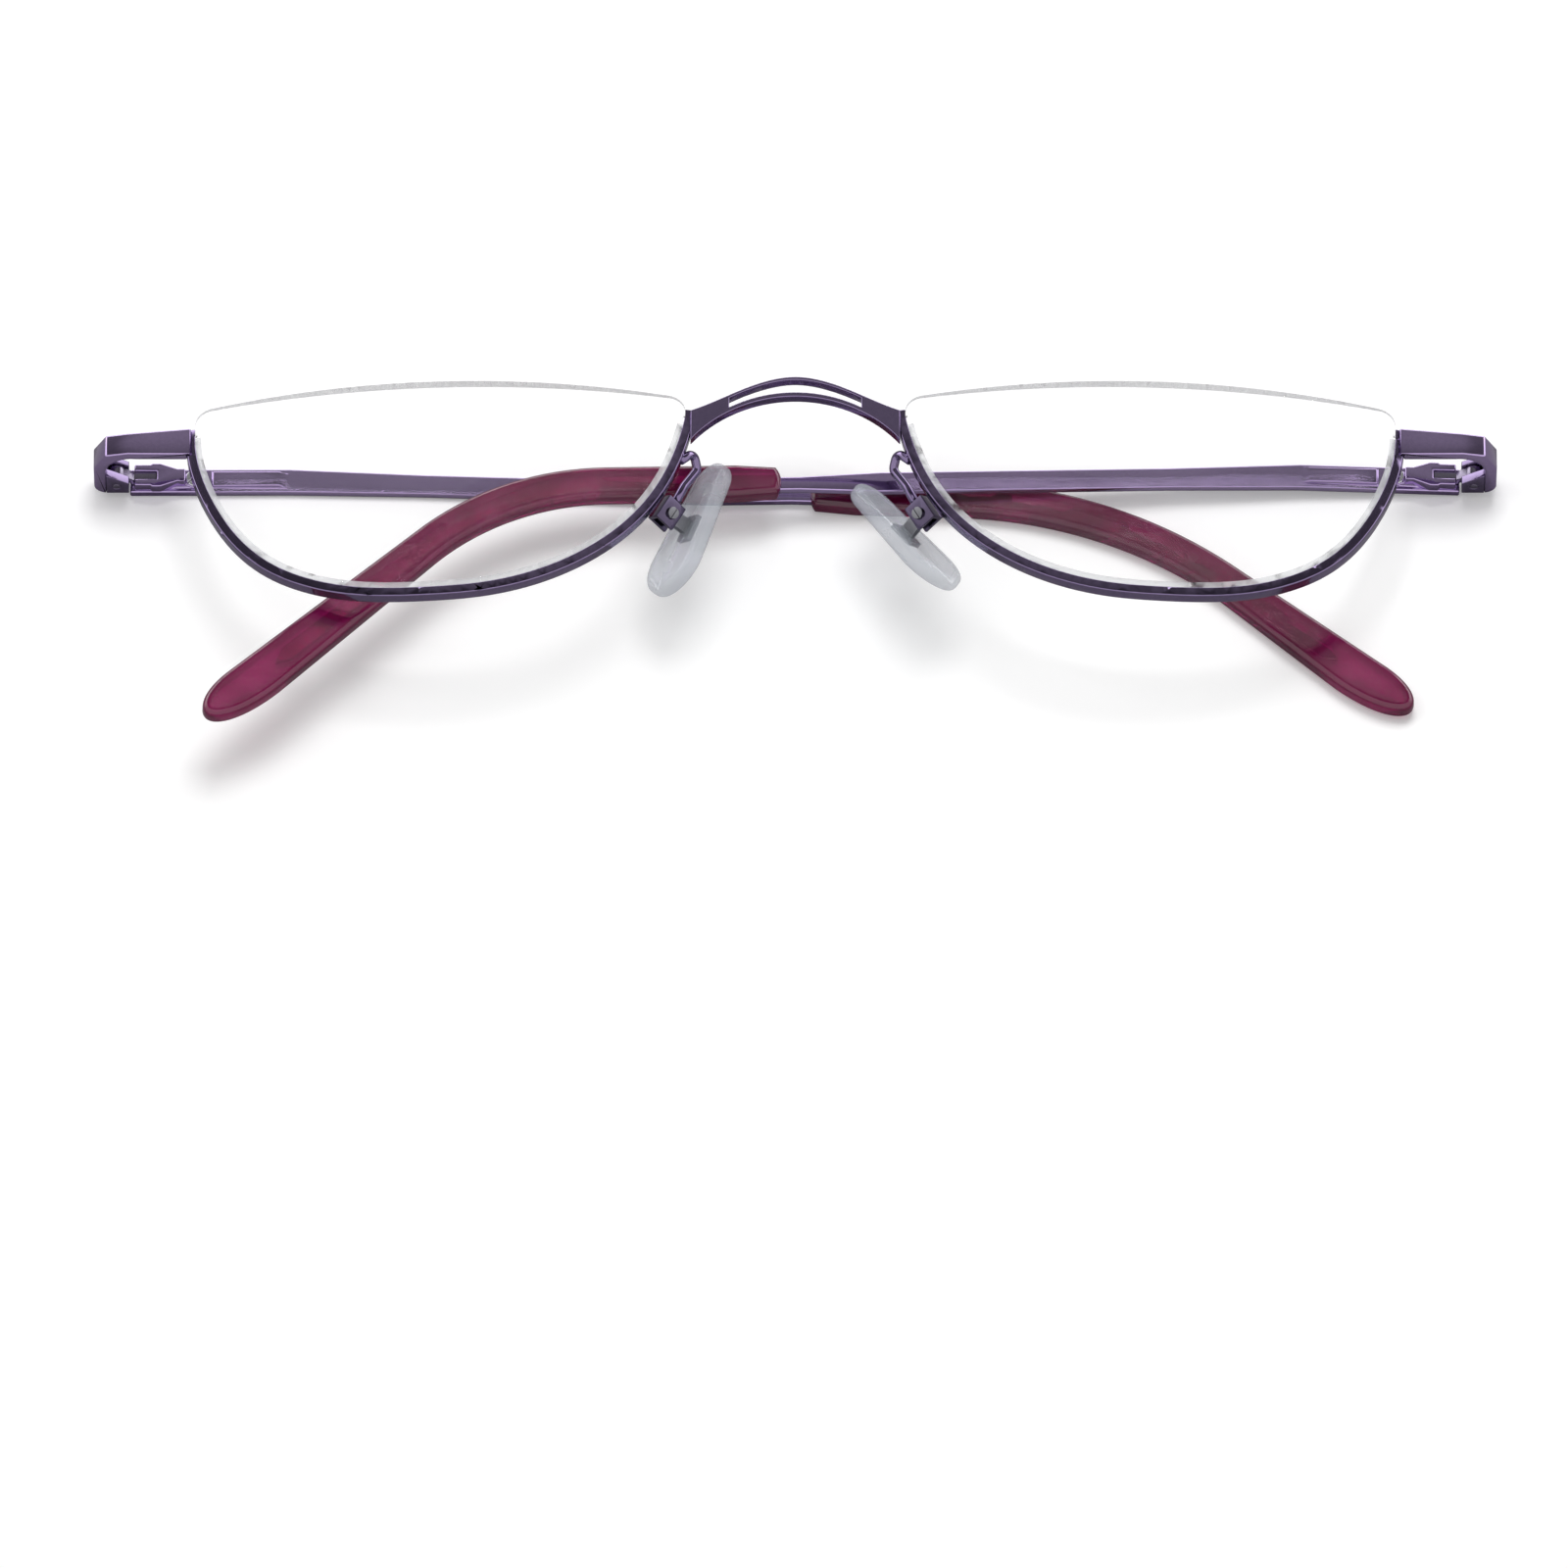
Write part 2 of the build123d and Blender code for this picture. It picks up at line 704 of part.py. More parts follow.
def make_box_screw(side):
    """The silver screw that holds the spring box down on the temple."""
    seat = temple_plane(side, strip_top + box_tab_thickness)
    with BuildPart() as screw:
        with BuildSketch(seat):
            with Locations((box_screw_x, 0)):
                Circle(box_screw_head_radius)
        extrude(amount=box_screw_head_height)
        fillet(screw.edges().filter_by(GeomType.CIRCLE).sort_by(Axis(seat.origin, seat.z_dir))[-1], radius=0.12)
        with BuildSketch(seat):
            with Locations((box_screw_x, 0)):
                Circle(box_screw_radius)
        extrude(amount=0.1 - strip_thickness - box_tab_thickness)
        with BuildSketch(seat.offset(box_screw_head_height)):
            with Locations(Location((box_screw_x, 0), 35)):
                Rectangle(3, box_screw_slot)
        extrude(amount=-0.15, mode=Mode.SUBTRACT)
    save(screw, f"spring_box_screw_{names[side]}")


def pad_frame(side, rock):
    """Directions of a nose pad: down its length, out to its mount, and along its screw."""
    splay = radians(pad_splay)
    turn = radians(pad_turn)
    tilt = radians(rock)
    outward = Vector(side * cos(splay), sin(splay), 0)
    up = Vector(0, 0, 1)
    down = Vector(side * sin(splay), -cos(splay), 0)
    mount = outward * cos(turn) + up * sin(turn)
    screw = up * cos(turn) - outward * sin(turn)
    pivot = Vector(side * pad_pivot[0], hinge_y + pad_pivot[1], pad_pivot[2])
    tilted_down = down * cos(tilt) + mount * sin(tilt)
    tilted_mount = mount * cos(tilt) - down * sin(tilt)
    return pivot, tilted_down, tilted_mount, screw


def make_nose_pad(side):
    """A silicone nose pad on its metal insert, rocked on its screw."""
    pivot, down, mount, screw = pad_frame(side, pad_rock[side])
    back = pivot - mount * pad_axis_height
    across = Plane(pivot - screw * lug_thickness / 2, x_dir=down, z_dir=screw)
    with BuildPart() as insert:
        with BuildSketch(across):
            with Locations((0, -side * pad_axis_height / 2)):
                Rectangle(2 * lug_radius, pad_axis_height)
            Circle(lug_radius)
            Circle(pad_screw_radius + pin_clearance, mode=Mode.SUBTRACT)
        extrude(amount=lug_thickness)
        with BuildSketch(Plane(back, x_dir=down, z_dir=mount)):
            Rectangle(insert_length, insert_width)
        extrude(amount=-insert_depth)
    save(insert, f"pad_insert_{names[side]}")
    with BuildPart() as pad:
        with BuildSketch(Plane(back + mount * pad_skin, x_dir=down, z_dir=mount)):
            with Locations((-pad_length / 2 + pad_top_radius, 0)):
                Circle(pad_top_radius)
            with Locations((pad_length / 2 - pad_width / 2, 0)):
                Circle(pad_width / 2)
            make_hull()
        extrude(amount=-pad_thickness)
        flats = pad.faces().filter_by(Axis(back, mount))
        fillet(flats.edges(), radius=pad_round)
        add(insert.part, mode=Mode.SUBTRACT)
    save(pad, f"nose_pad_{names[side]}")


def make_pad_mount(side, rim):
    """The pad arm from the rim, the box at its end and the screw the pad rocks on."""
    pivot, down, mount, screw = pad_frame(side, 0)
    gap = lug_thickness / 2 + pad_box_clearance
    wall = gap + pad_box_wall
    floor = lug_radius + pad_box_clearance
    end_wall = pad_box_length / 2 - pad_box_wall
    with BuildPart() as box:
        with BuildSketch(Plane(pivot - screw * wall, x_dir=down, z_dir=screw)):
            with Locations((0, side * (floor + pad_box_wall - pad_box_reach) / 2)):
                Rectangle(pad_box_length, floor + pad_box_wall + pad_box_reach)
            Circle(pad_screw_radius, mode=Mode.SUBTRACT)
        extrude(amount=2 * wall)
        with BuildSketch(Plane(pivot - screw * gap, x_dir=down, z_dir=screw)):
            with Locations((-end_wall + pad_box_length, side * (floor - 2 * pad_box_reach) / 2)):
                Rectangle(2 * pad_box_length, floor + 2 * pad_box_reach)
        extrude(amount=2 * gap, mode=Mode.SUBTRACT)
    save(box, f"pad_box_{names[side]}")
    with BuildPart() as pin:
        with BuildSketch(Plane(pivot - screw * wall, x_dir=down, z_dir=screw)):
            Circle(pad_screw_radius)
        extrude(amount=2 * wall)
        head = Plane(pivot + screw * wall, x_dir=down, z_dir=screw)
        with BuildSketch(head):
            Circle(pad_screw_head_radius)
        extrude(amount=pad_screw_head_height)
        with BuildSketch(head.offset(pad_screw_head_height)):
            Rectangle(2 * pad_screw_head_radius, 0.18)
        extrude(amount=-0.12, mode=Mode.SUBTRACT)
    save(pin, f"pad_screw_{names[side]}")
    seat = pivot - down * (pad_box_length / 2 - pad_box_wall / 2)
    places = [Vector(side * x, hinge_y + y, z) for x, y, z in pad_arm_points]
    with BuildPart() as arm:
        with BuildLine():
            path = FilletPolyline(*places, seat, radius=pad_arm_bend)
        with BuildSketch(Plane(path @ 0, z_dir=path % 0)):
            Circle(pad_arm_radius)
        sweep()
        add(box.part, mode=Mode.SUBTRACT)
        add(rim, mode=Mode.SUBTRACT)
    save(arm, f"pad_arm_{names[side]}")


lens = {side: make_lens(side) for side in names}
rim = {side: make_rim(side) for side in names}
make_bridge(rim.values())
for side in names:
    make_end_piece(side, rim[side], lens[side])
    make_front_hinge(side)
    make_hinge_screw(side)
    temple = make_temple(side)
    make_temple_tip(side, temple)
    make_spring_box(side)
    make_hinge_slider(side)
    make_spring_parts(side)
    make_box_screw(side)
    make_nose_pad(side)
    make_pad_mount(side, rim[side])
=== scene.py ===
import json
import math

import bpy
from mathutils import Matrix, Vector


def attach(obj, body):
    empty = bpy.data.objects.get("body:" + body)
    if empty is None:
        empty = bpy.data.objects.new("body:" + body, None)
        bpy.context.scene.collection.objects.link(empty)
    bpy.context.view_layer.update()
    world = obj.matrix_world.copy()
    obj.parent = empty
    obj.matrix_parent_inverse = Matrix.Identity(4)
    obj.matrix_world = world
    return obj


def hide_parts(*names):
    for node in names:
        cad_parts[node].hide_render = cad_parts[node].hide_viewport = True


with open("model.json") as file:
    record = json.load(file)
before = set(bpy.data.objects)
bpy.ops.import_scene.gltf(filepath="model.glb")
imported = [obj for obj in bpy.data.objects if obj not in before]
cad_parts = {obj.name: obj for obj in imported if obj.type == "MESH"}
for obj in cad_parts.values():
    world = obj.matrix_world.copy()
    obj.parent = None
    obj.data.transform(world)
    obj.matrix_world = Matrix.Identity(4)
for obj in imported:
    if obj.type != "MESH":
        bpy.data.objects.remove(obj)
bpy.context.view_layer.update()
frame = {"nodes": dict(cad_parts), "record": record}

# Half rims: a drawn metal wire with a groove, bent round each lens from the end piece
# to the bridge and left open on top. The metal is plated, then dipped in a clear
# purple lacquer that carries a fine metallic flake.
lacquer_light = (0.245, 0.185, 0.330, 1)
lacquer_dark = (0.130, 0.095, 0.195, 1)
flakes_per_metre = 2600
clouds_per_metre = 90
flake_contrast = 0.55
cloud_dulling = 0.07
flake = bpy.data.node_groups.new("metallic flake", "ShaderNodeTree")
for title, kind, way in (
    ("Light", "NodeSocketColor", "INPUT"),
    ("Dark", "NodeSocketColor", "INPUT"),
    ("Dullness", "NodeSocketFloat", "INPUT"),
    ("Color", "NodeSocketColor", "OUTPUT"),
    ("Roughness", "NodeSocketFloat", "OUTPUT"),
    ("Height", "NodeSocketFloat", "OUTPUT"),
):
    flake.interface.new_socket(title, in_out=way, socket_type=kind)
sockets_in = flake.nodes.new("NodeGroupInput")
sockets_out = flake.nodes.new("NodeGroupOutput")
place = flake.nodes.new("ShaderNodeTexCoord")
grains = flake.nodes.new("ShaderNodeTexNoise")
grains.inputs["Scale"].default_value = flakes_per_metre
grains.inputs["Detail"].default_value = 3
cloud = flake.nodes.new("ShaderNodeTexNoise")
cloud.inputs["Scale"].default_value = clouds_per_metre
cloud.inputs["Detail"].default_value = 2
blended = flake.nodes.new("ShaderNodeMath")
blended.operation = "MULTIPLY_ADD"
blended.inputs[1].default_value = flake_contrast
tint = flake.nodes.new("ShaderNodeMix")
tint.data_type = "RGBA"
dull = flake.nodes.new("ShaderNodeMath")
dull.operation = "MULTIPLY_ADD"
dull.inputs[1].default_value = cloud_dulling
flake.links.new(place.outputs["Object"], grains.inputs["Vector"])
flake.links.new(place.outputs["Object"], cloud.inputs["Vector"])
flake.links.new(grains.outputs["Fac"], blended.inputs[0])
flake.links.new(cloud.outputs["Fac"], blended.inputs[2])
flake.links.new(blended.outputs[0], tint.inputs["Factor"])
flake.links.new(sockets_in.outputs["Dark"], tint.inputs["A"])
flake.links.new(sockets_in.outputs["Light"], tint.inputs["B"])
flake.links.new(cloud.outputs["Fac"], dull.inputs[0])
flake.links.new(sockets_in.outputs["Dullness"], dull.inputs[2])
flake.links.new(tint.outputs["Result"], sockets_out.inputs["Color"])
flake.links.new(dull.outputs[0], sockets_out.inputs["Roughness"])
flake.links.new(grains.outputs["Fac"], sockets_out.inputs["Height"])


def metal_finish(name, light, dark, dullness, coat):
    """A plated metal, flaked under a clear coat."""
    coat_roughness = 0.06
    flake_relief = 0.006
    flake_thickness = 0.00004
    material = bpy.data.materials.new(name)
    material.use_nodes = True
    tree = material.node_tree
    shader = tree.nodes["Principled BSDF"]
    shader.inputs["Metallic"].default_value = 1.0
    shader.inputs["Coat Weight"].default_value = coat
    shader.inputs["Coat Roughness"].default_value = coat_roughness
    finish = tree.nodes.new("ShaderNodeGroup")
    finish.node_tree = flake
    finish.inputs["Light"].default_value = light
    finish.inputs["Dark"].default_value = dark
    finish.inputs["Dullness"].default_value = dullness
    bump = tree.nodes.new("ShaderNodeBump")
    bump.inputs["Strength"].default_value = flake_relief
    bump.inputs["Distance"].default_value = flake_thickness
    tree.links.new(finish.outputs["Color"], shader.inputs["Base Color"])
    tree.links.new(finish.outputs["Roughness"], shader.inputs["Roughness"])
    tree.links.new(finish.outputs["Height"], bump.inputs["Height"])
    tree.links.new(bump.outputs["Normal"], shader.inputs["Normal"])
    return material


def take_up(node, material, edge=0.0, crease=32, slack=0.0, crowned=False, below=1.0):
    """A merged copy of a CAD piece, in its place and in its material.

    Its sharp corners are rounded by edge, apart from those that reach y = below. Slack
    draws its surface in. A crowned piece keeps its shading soft across flat faces.
    """
    same_point = 0.0000005
    nearly_flat = 0.4
    sharp_corner = 40
    widest_clean_easing = 0.0001
    stray = 0.000001
    bpy.ops.object.select_all(action="DESELECT")
    piece = bpy.data.objects.new("finished_" + node, frame["nodes"][node].data.copy())
    bpy.context.scene.collection.objects.link(piece)
    bpy.context.view_layer.objects.active = piece
    piece.select_set(True)
    piece.data.materials.clear()
    piece.data.materials.append(material)
    bpy.ops.object.mode_set(mode="EDIT")
    bpy.ops.mesh.select_all(action="SELECT")
    bpy.ops.mesh.remove_doubles(threshold=same_point)
    if slack:
        bpy.ops.mesh.normals_make_consistent(inside=False)
        bpy.ops.transform.shrink_fatten(value=-slack)
    if edge:
        bpy.ops.mesh.dissolve_limited(angle_limit=math.radians(nearly_flat))
        bpy.ops.mesh.select_mode(type="EDGE")
        bpy.ops.mesh.select_all(action="DESELECT")
        bpy.ops.mesh.edges_select_sharp(sharpness=math.radians(sharp_corner))
        bpy.ops.object.mode_set(mode="OBJECT")
        points = piece.data.vertices
        for line in piece.data.edges:
            highest = max(points[v].co.y for v in line.vertices)
            line.select = line.select and highest < below
        bpy.ops.object.mode_set(mode="EDIT")
        bpy.ops.mesh.bevel(offset=edge, segments=3, affect="EDGES", clamp_overlap=False)
    if edge > widest_clean_easing:
        bpy.ops.mesh.select_all(action="SELECT")
        bpy.ops.mesh.remove_doubles(threshold=stray)
        bpy.ops.mesh.dissolve_degenerate(threshold=stray)
    bpy.ops.object.mode_set(mode="OBJECT")
    bpy.ops.object.shade_smooth_by_angle(angle=math.radians(crease))
    if edge and not crowned:
        flats = piece.modifiers.new("flat faces", "WEIGHTED_NORMAL")
        flats.keep_sharp = True
        bpy.ops.object.modifier_apply(modifier="flat faces")
    record = frame["record"]
    body = [name for name, members in record["behaviour"]["bodies"].items() if node in members][0]
    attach(piece, body)
    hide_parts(node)
    return piece


lacquer = metal_finish("purple lacquer", lacquer_light, lacquer_dark, dullness=0.08, coat=0.5)
brazed_end = 0.0138
for side in ("left", "right"):
    take_up("rim_" + side, lacquer, edge=0.00012, below=brazed_end)

# Bridge: one plate, stamped with a crescent slot and arched over the nose, brazed to
# the nasal tops of the rims and lacquered with them.
take_up("bridge", lacquer, edge=0.00013)

# End pieces: a flat strip brazed to the rim and bent back round to the hinge, with the
# knuckles brazed inside the bend and the pin screwed down through them. The strips wear a
# paler copy of the rims' purple lacquer, painted light, and the pin is bare grey metal.
# A paler copy of the same purple lacquer: painted light on the end pieces, spring boxes and
# temples.
lit_strip_flake_light = (0.460, 0.345, 0.600, 1)
lit_strip_flake_dark = (0.280, 0.205, 0.385, 1)
lit_strip_lacquer = metal_finish(
    "purple lacquer painted lighter on strips", lit_strip_flake_light, lit_strip_flake_dark, dullness=0.08, coat=0.5
)
hinge_light = (0.30, 0.27, 0.35, 1)
hinge_dark = (0.17, 0.14, 0.21, 1)
hinge_grey = metal_finish("hinge metal", hinge_light, hinge_dark, dullness=0.22, coat=0.2)
for side in ("left", "right"):
    take_up("end_piece_" + side, lit_strip_lacquer, edge=0.00018, crowned=True)
    take_up("front_hinge_" + side, lacquer, edge=0.00008, crowned=True)
    take_up("hinge_screw_" + side, hinge_grey, edge=0.00003)

# Sprung hinges: a tongue with an eye runs from the pin into a box on the temple, where
# a coil spring on its rod pulls the box to the knuckles. A silver screw holds the box.
steel_light = (0.80, 0.80, 0.82, 1)
steel_dark = (0.58, 0.58, 0.61, 1)
steel = metal_finish("screw steel", steel_light, steel_dark, dullness=0.14, coat=0.0)
# The spring boxes wear the paler strip lacquer, which is painted light.
for side in ("left", "right"):
    take_up("hinge_slider_" + side, hinge_grey, edge=0.00004, crowned=True)
    take_up("spring_stop_" + side, steel)
    take_up("hinge_spring_" + side, steel)
    take_up("spring_box_" + side, lit_strip_lacquer, edge=0.00014, crowned=True)
    take_up("spring_box_screw_" + side, steel, edge=0.00004)

# Temples: a rolled strip with a raised ridge behind the hinge, thinned to a round
# shaft and pressed flat again where it runs on as the core inside the tip. A hair of
# slack keeps the lacquered core from touching the plastic round it.
core_slack = 0.000012
# The temples wear the paler strip lacquer, which is painted light.
for side in ("left", "right"):
    take_up("temple_" + side, lit_strip_lacquer, edge=0.00018, slack=core_slack, crowned=True)

# Temple tips: sleeves of clear plum plastic pushed on the cores, slim where they start
# and widened to a paddle at the end. The core shows through as a dull red band, and
# faint streaks in the plastic deepen its colour.


def plastic(name, sockets, cells_per_metre, colours=None, ends=(0.0, 1.0), roughness=None):
    """A plastic whose colour and roughness drift with one noise over the piece."""
    material = bpy.data.materials.new(name)
    material.use_nodes = True
    tree = material.node_tree
    shader = tree.nodes["Principled BSDF"]
    for socket, value in sockets.items():
        shader.inputs[socket].default_value = value
    place = tree.nodes.new("ShaderNodeTexCoord")
    noise = tree.nodes.new("ShaderNodeTexNoise")
    noise.inputs["Scale"].default_value = cells_per_metre
    noise.inputs["Detail"].default_value = 2
    tree.links.new(place.outputs["Object"], noise.inputs["Vector"])
    if colours:
        shades = tree.nodes.new("ShaderNodeValToRGB")
        for number, (position, colour) in enumerate(zip(ends, colours)):
            shades.color_ramp.elements[number].position = position
            shades.color_ramp.elements[number].color = colour
        tree.links.new(noise.outputs["Fac"], shades.inputs["Fac"])
        tree.links.new(shades.outputs["Color"], shader.inputs["Base Color"])
    if roughness:
        polish = tree.nodes.new("ShaderNodeMapRange")
        polish.inputs["To Min"].default_value = roughness[0]
        polish.inputs["To Max"].default_value = roughness[1]
        tree.links.new(noise.outputs["Fac"], polish.inputs["Value"])
        tree.links.new(polish.outputs["Result"], shader.inputs["Roughness"])
    return material


plum = plastic(
    "plum plastic",
    {"IOR": 1.47, "Transmission Weight": 0.66, "Coat Weight": 0.4, "Coat Roughness": 0.04},
    cells_per_metre=160,
    colours=((0.190, 0.004, 0.058, 1), (0.330, 0.010, 0.120, 1)),
    ends=(0.3, 0.75),
    roughness=(0.03, 0.12),
)
for side in ("left", "right"):
    take_up("temple_tip_" + side, plum, crease=50)

# Lenses: thin meniscus lenses of clear plastic, ground to the half shape with a bevel
# that sits in the groove of the rim. The faces are polished. The wall, a band over the
# groove and the front half of the free upper edge show the matt ground plastic.
clear = plastic(
    "lens plastic",
    {"Base Color": (1, 1, 1, 1), "IOR": 1.5, "Transmission Weight": 1.0, "Alpha": 0.02},
    cells_per_metre=45,
    roughness=(0.01, 0.05),
)
ground = plastic(
    "ground lens edge",
    {"Roughness": 0.45, "Alpha": 0.62},
    cells_per_metre=220,
    colours=((0.64, 0.65, 0.67, 1), (0.72, 0.73, 0.75, 1)),
)
polished, matt = 0, 1
wall_turn = 0.8
band_width = 0.0006
band_end = 0.0134
least_band = 0.0002
narrow_band = 0.0004
lens_middle = {"left": Vector((0.0351, 0.006, 0)), "right": Vector((-0.0351, 0.006, 0))}
sliver = 0.00003


def front_corners(lens):
    """The corners of the faces that look up from the table."""
    return {v for f in lens.data.polygons if f.normal.z > wall_turn for v in f.vertices}


for side in ("left", "right"):
    lens = take_up("lens_" + side, clear, crease=25)
    lens.data.materials.append(ground)
    bpy.ops.object.mode_set(mode="EDIT")
    bpy.ops.mesh.select_all(action="SELECT")
    bpy.ops.mesh.dissolve_degenerate(threshold=sliver)
    bpy.ops.mesh.select_mode(type="FACE")
    bpy.ops.mesh.select_all(action="DESELECT")
    bpy.ops.object.mode_set(mode="OBJECT")
    for face in lens.data.polygons:
        face.select = face.normal.z > wall_turn
        if abs(face.normal.z) < wall_turn:
            face.material_index = matt
    bpy.ops.object.mode_set(mode="EDIT")
    bpy.ops.mesh.inset(thickness=band_width, use_select_inset=True)
    bpy.ops.object.mode_set(mode="OBJECT")
    corners = lens.data.vertices
    wall = {v for f in lens.data.polygons if abs(f.normal.z) < wall_turn for v in f.vertices}
    band = {v for f in lens.data.polygons if f.select for v in f.vertices}
    outline = [corners[v].co.copy() for v in band & wall]
    for v in band - wall:
        nearest = min(outline, key=lambda point: (point - corners[v].co).length)
        inward = lens_middle[side] - nearest
        inward.z = 0
        inward.normalize()
        width_here = (corners[v].co - nearest).dot(inward)
        if width_here < least_band:
            corners[v].co += inward * (narrow_band - width_here)
    for face in lens.data.polygons:
        if face.select and face.center.y < band_end:
            face.material_index = matt
    front = front_corners(lens)
    upper_edge = {
        key
        for f in lens.data.polygons
        if abs(f.normal.z) < wall_turn and f.center.y > band_end
        for key in f.edge_keys
    }
    bpy.ops.object.mode_set(mode="EDIT")
    bpy.ops.mesh.select_mode(type="EDGE")
    bpy.ops.mesh.select_all(action="DESELECT")
    bpy.ops.object.mode_set(mode="OBJECT")
    for line in lens.data.edges:
        one_end_in_front = (line.vertices[0] in front) != (line.vertices[1] in front)
        line.select = line.key in upper_edge and one_end_in_front
    bpy.ops.object.mode_set(mode="EDIT")
    bpy.ops.mesh.subdivide(number_cuts=1)
    bpy.ops.object.mode_set(mode="OBJECT")
    front = front_corners(lens)
    for face in lens.data.polygons:
        on_upper_edge = abs(face.normal.z) < wall_turn and face.center.y > band_end
        if on_upper_edge and not front.intersection(face.vertices):
            face.material_index = polished

# Nose pads: soft clear silicone moulded on a metal insert, whose lug rocks on a screw
# in a small box. A loop of lacquered wire carries the box from the back of the rim. The
# boxes wear a darker copy of the purple lacquer, which is painted shade.
silicone = plastic(
    "pad silicone",
    {"IOR": 1.41, "Transmission Weight": 0.30, "Alpha": 0.45, "Coat Weight": 0.5},
    cells_per_metre=260,
    colours=((0.58, 0.63, 0.70, 1), (0.72, 0.77, 0.84, 1)),
    roughness=(0.16, 0.34),
)
insert_light = (0.22, 0.22, 0.24, 1)
insert_dark = (0.12, 0.12, 0.13, 1)
dark_steel = metal_finish("insert steel", insert_light, insert_dark, dullness=0.25, coat=0.0)
# A darker copy of the purple lacquer: painted shade on the pad boxes.
shaded_box_flake_light = (0.105, 0.080, 0.145, 1)
shaded_box_flake_dark = (0.050, 0.040, 0.075, 1)
shaded_box_lacquer = metal_finish("purple lacquer painted dark as shade", shaded_box_flake_light, shaded_box_flake_dark, dullness=0.10, coat=0.4)
for side in ("left", "right"):
    take_up("nose_pad_" + side, silicone, crease=50)
    take_up("pad_insert_" + side, dark_steel, edge=0.00004)
    take_up("pad_box_" + side, shaded_box_lacquer, edge=0.00006, crowned=True)
    take_up("pad_screw_" + side, dark_steel, edge=0.00003)
    take_up("pad_arm_" + side, lacquer, crease=50)

# Table: a plain white sheet that the folded pair lies on. It is white in the view and
# through the lenses, greyer in reflections, and keeps the soft shadow of the pieces.
table_width = 4
just_under = -0.00002
sheet_white = (0.86, 0.86, 0.86, 1)
sheet_in_reflections = (0.30, 0.29, 0.31, 1)
sheet_glow = 0.21
bpy.ops.object.select_all(action="DESELECT")
bpy.ops.mesh.primitive_plane_add(size=table_width, location=(0, 0, just_under))
table = bpy.context.object
table.name = "table"
paper = bpy.data.materials.new("white table")
paper.use_nodes = True
shader = paper.node_tree.nodes["Principled BSDF"]
shader.inputs["Roughness"].default_value = 0.9
shader.inputs["Specular IOR Level"].default_value = 0.1
shader.inputs["Emission Color"].default_value = (1, 1, 1, 1)
seen = paper.node_tree.nodes.new("ShaderNodeLightPath")
either = paper.node_tree.nodes.new("ShaderNodeMath")
either.operation = "MAXIMUM"
glow = paper.node_tree.nodes.new("ShaderNodeMath")
glow.operation = "MULTIPLY"
glow.inputs[1].default_value = sheet_glow
sheet = paper.node_tree.nodes.new("ShaderNodeMix")
sheet.data_type = "RGBA"
sheet.inputs["A"].default_value = sheet_white
sheet.inputs["B"].default_value = sheet_in_reflections
paper.node_tree.links.new(seen.outputs["Is Camera Ray"], either.inputs[0])
paper.node_tree.links.new(seen.outputs["Is Transmission Ray"], either.inputs[1])
paper.node_tree.links.new(either.outputs[0], glow.inputs[0])
paper.node_tree.links.new(glow.outputs[0], shader.inputs["Emission Strength"])
paper.node_tree.links.new(seen.outputs["Is Glossy Ray"], sheet.inputs["Factor"])
paper.node_tree.links.new(sheet.outputs["Result"], shader.inputs["Base Color"])
table.data.materials.append(paper)

# Light: two soft boxes over the pair, the weaker one from the left, in a studio that
# is white to look at. The metal mirrors a bright ring in it, brighter at the back,
# round the way in which a level face mirrors the view.
mirror_way = (0, 0.5, 0.866)
ring = (
    (0.07, 1.6),
    (0.25, 2.2),
    (0.85, 2.4),
    (0.89, 0.12),
    (0.955, 0.14),
    (0.985, 0.28),
)
opposite, straight_on = 1.0, 0.30
front_share, back_share = 0.45, 1.55
even_grey = (0.42, 0.42, 0.42, 1)
for spot, power, size in (
    ((0.06, 0.30, 0.86), 4.4, 0.40),
    ((-0.40, 0.10, 0.80), 1.1, 0.45),
):
    bpy.ops.object.light_add(type="AREA", location=spot)
    lamp = bpy.context.object
    lamp.data.energy = power
    lamp.data.size = size
    lamp.visible_glossy = False
    lamp.rotation_euler = (-Vector(spot)).to_track_quat("-Z", "Y").to_euler()
world = bpy.data.worlds.new("studio")
bpy.context.scene.world = world
world.use_nodes = True
surround = world.node_tree.nodes["Background"]
seen = world.node_tree.nodes.new("ShaderNodeLightPath")
heading = world.node_tree.nodes.new("ShaderNodeTexCoord")
parts = world.node_tree.nodes.new("ShaderNodeSeparateXYZ")
nearness = world.node_tree.nodes.new("ShaderNodeVectorMath")
nearness.operation = "DOT_PRODUCT"
nearness.inputs[1].default_value = mirror_way
spread = world.node_tree.nodes.new("ShaderNodeMapRange")
spread.inputs["From Min"].default_value = -1
room = world.node_tree.nodes.new("ShaderNodeValToRGB")
room.color_ramp.elements[0].color = (opposite, opposite, opposite, 1)
room.color_ramp.elements[1].color = (straight_on, straight_on, straight_on, 1)
for position, grey in ring:
    room.color_ramp.elements.new(position).color = (grey, grey, grey, 1)
rise = world.node_tree.nodes.new("ShaderNodeMapRange")
rise.inputs["To Min"].default_value = front_share
rise.inputs["To Max"].default_value = back_share
lifted = world.node_tree.nodes.new("ShaderNodeVectorMath")
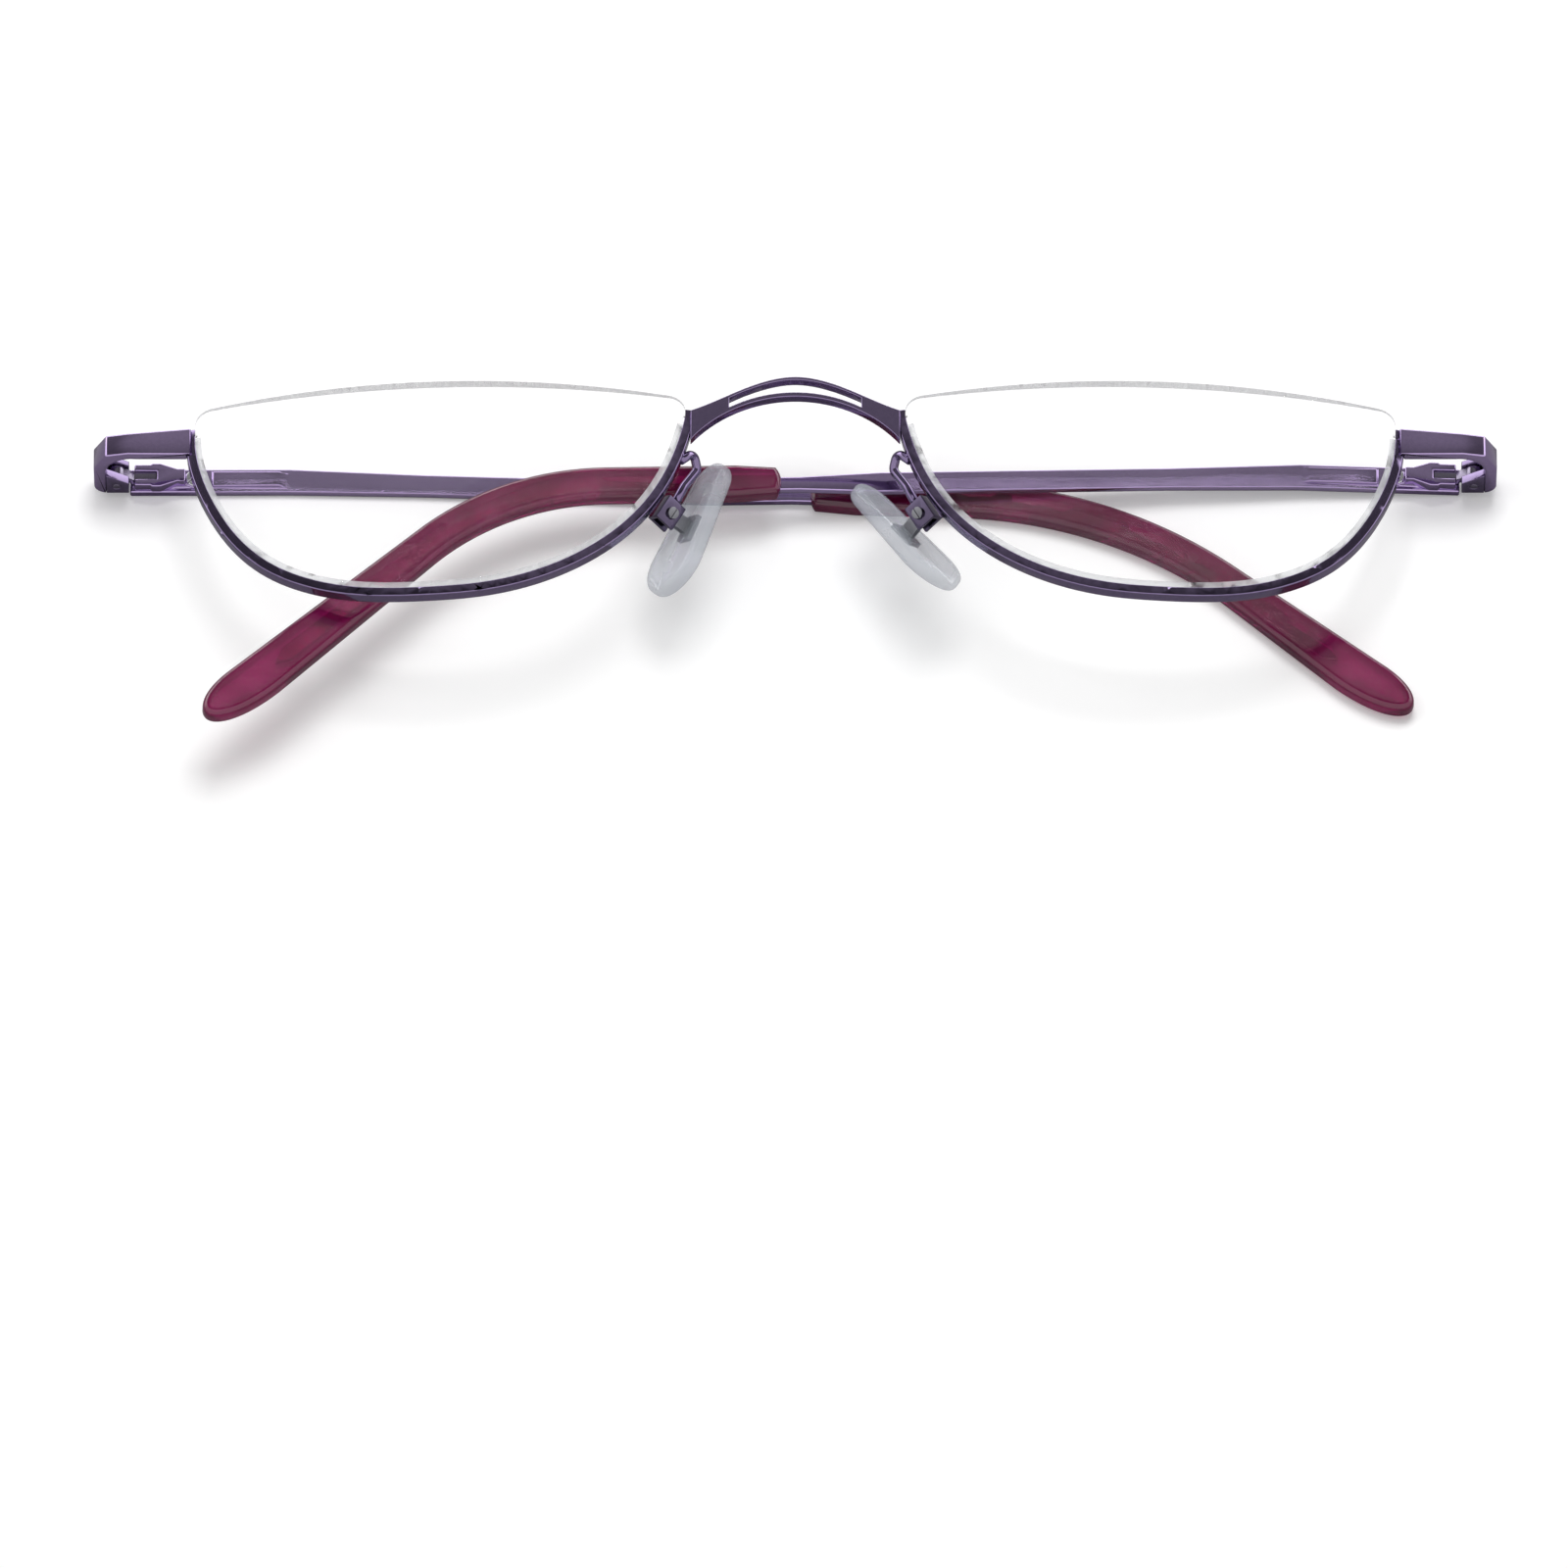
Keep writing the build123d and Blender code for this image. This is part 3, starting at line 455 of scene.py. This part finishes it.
lifted.operation = "SCALE"
mirrored = world.node_tree.nodes.new("ShaderNodeMix")
mirrored.data_type = "RGBA"
mirrored.inputs["A"].default_value = even_grey
behind = world.node_tree.nodes.new("ShaderNodeMath")
behind.operation = "MAXIMUM"
shown = world.node_tree.nodes.new("ShaderNodeMix")
shown.data_type = "RGBA"
shown.inputs["B"].default_value = (1, 1, 1, 1)
links = world.node_tree.links
links.new(heading.outputs["Generated"], parts.inputs["Vector"])
links.new(heading.outputs["Generated"], nearness.inputs[0])
links.new(nearness.outputs["Value"], spread.inputs["Value"])
links.new(parts.outputs["Y"], rise.inputs["Value"])
links.new(rise.outputs["Result"], lifted.inputs["Scale"])
links.new(spread.outputs["Result"], room.inputs["Fac"])
links.new(seen.outputs["Is Glossy Ray"], mirrored.inputs["Factor"])
links.new(room.outputs["Color"], lifted.inputs[0])
links.new(lifted.outputs["Vector"], mirrored.inputs["B"])
links.new(seen.outputs["Is Camera Ray"], behind.inputs[0])
links.new(seen.outputs["Is Transmission Ray"], behind.inputs[1])
links.new(behind.outputs[0], shown.inputs["Factor"])
links.new(mirrored.outputs["Result"], shown.inputs["A"])
links.new(shown.outputs["Result"], surround.inputs["Color"])

# Camera: straight in front of the pair and 60 degrees above the table, with a long
# lens. The pair lies in the upper half of the square frame.
frame_pixels = 1600
pixels_per_mm = 10.36
target = Vector((-0.00111, 0.0134, 0.0))
target_row = 495.3
slope = math.radians(60)
camera_data = bpy.data.cameras.new("camera")
camera = bpy.data.objects.new("camera", camera_data)
bpy.context.scene.collection.objects.link(camera)
camera_data.lens = 800
camera_data.sensor_width = 36
frame_width = frame_pixels / pixels_per_mm / 1000
reach = frame_width * camera_data.lens / camera_data.sensor_width
camera.location = target + Vector((0, -math.cos(slope), math.sin(slope))) * reach
camera.rotation_euler = (math.radians(90) - slope, 0, 0)
camera_data.shift_y = -(frame_pixels / 2 - target_row) / frame_pixels
bpy.context.scene.camera = camera
bpy.context.scene.view_settings.view_transform = "Standard"
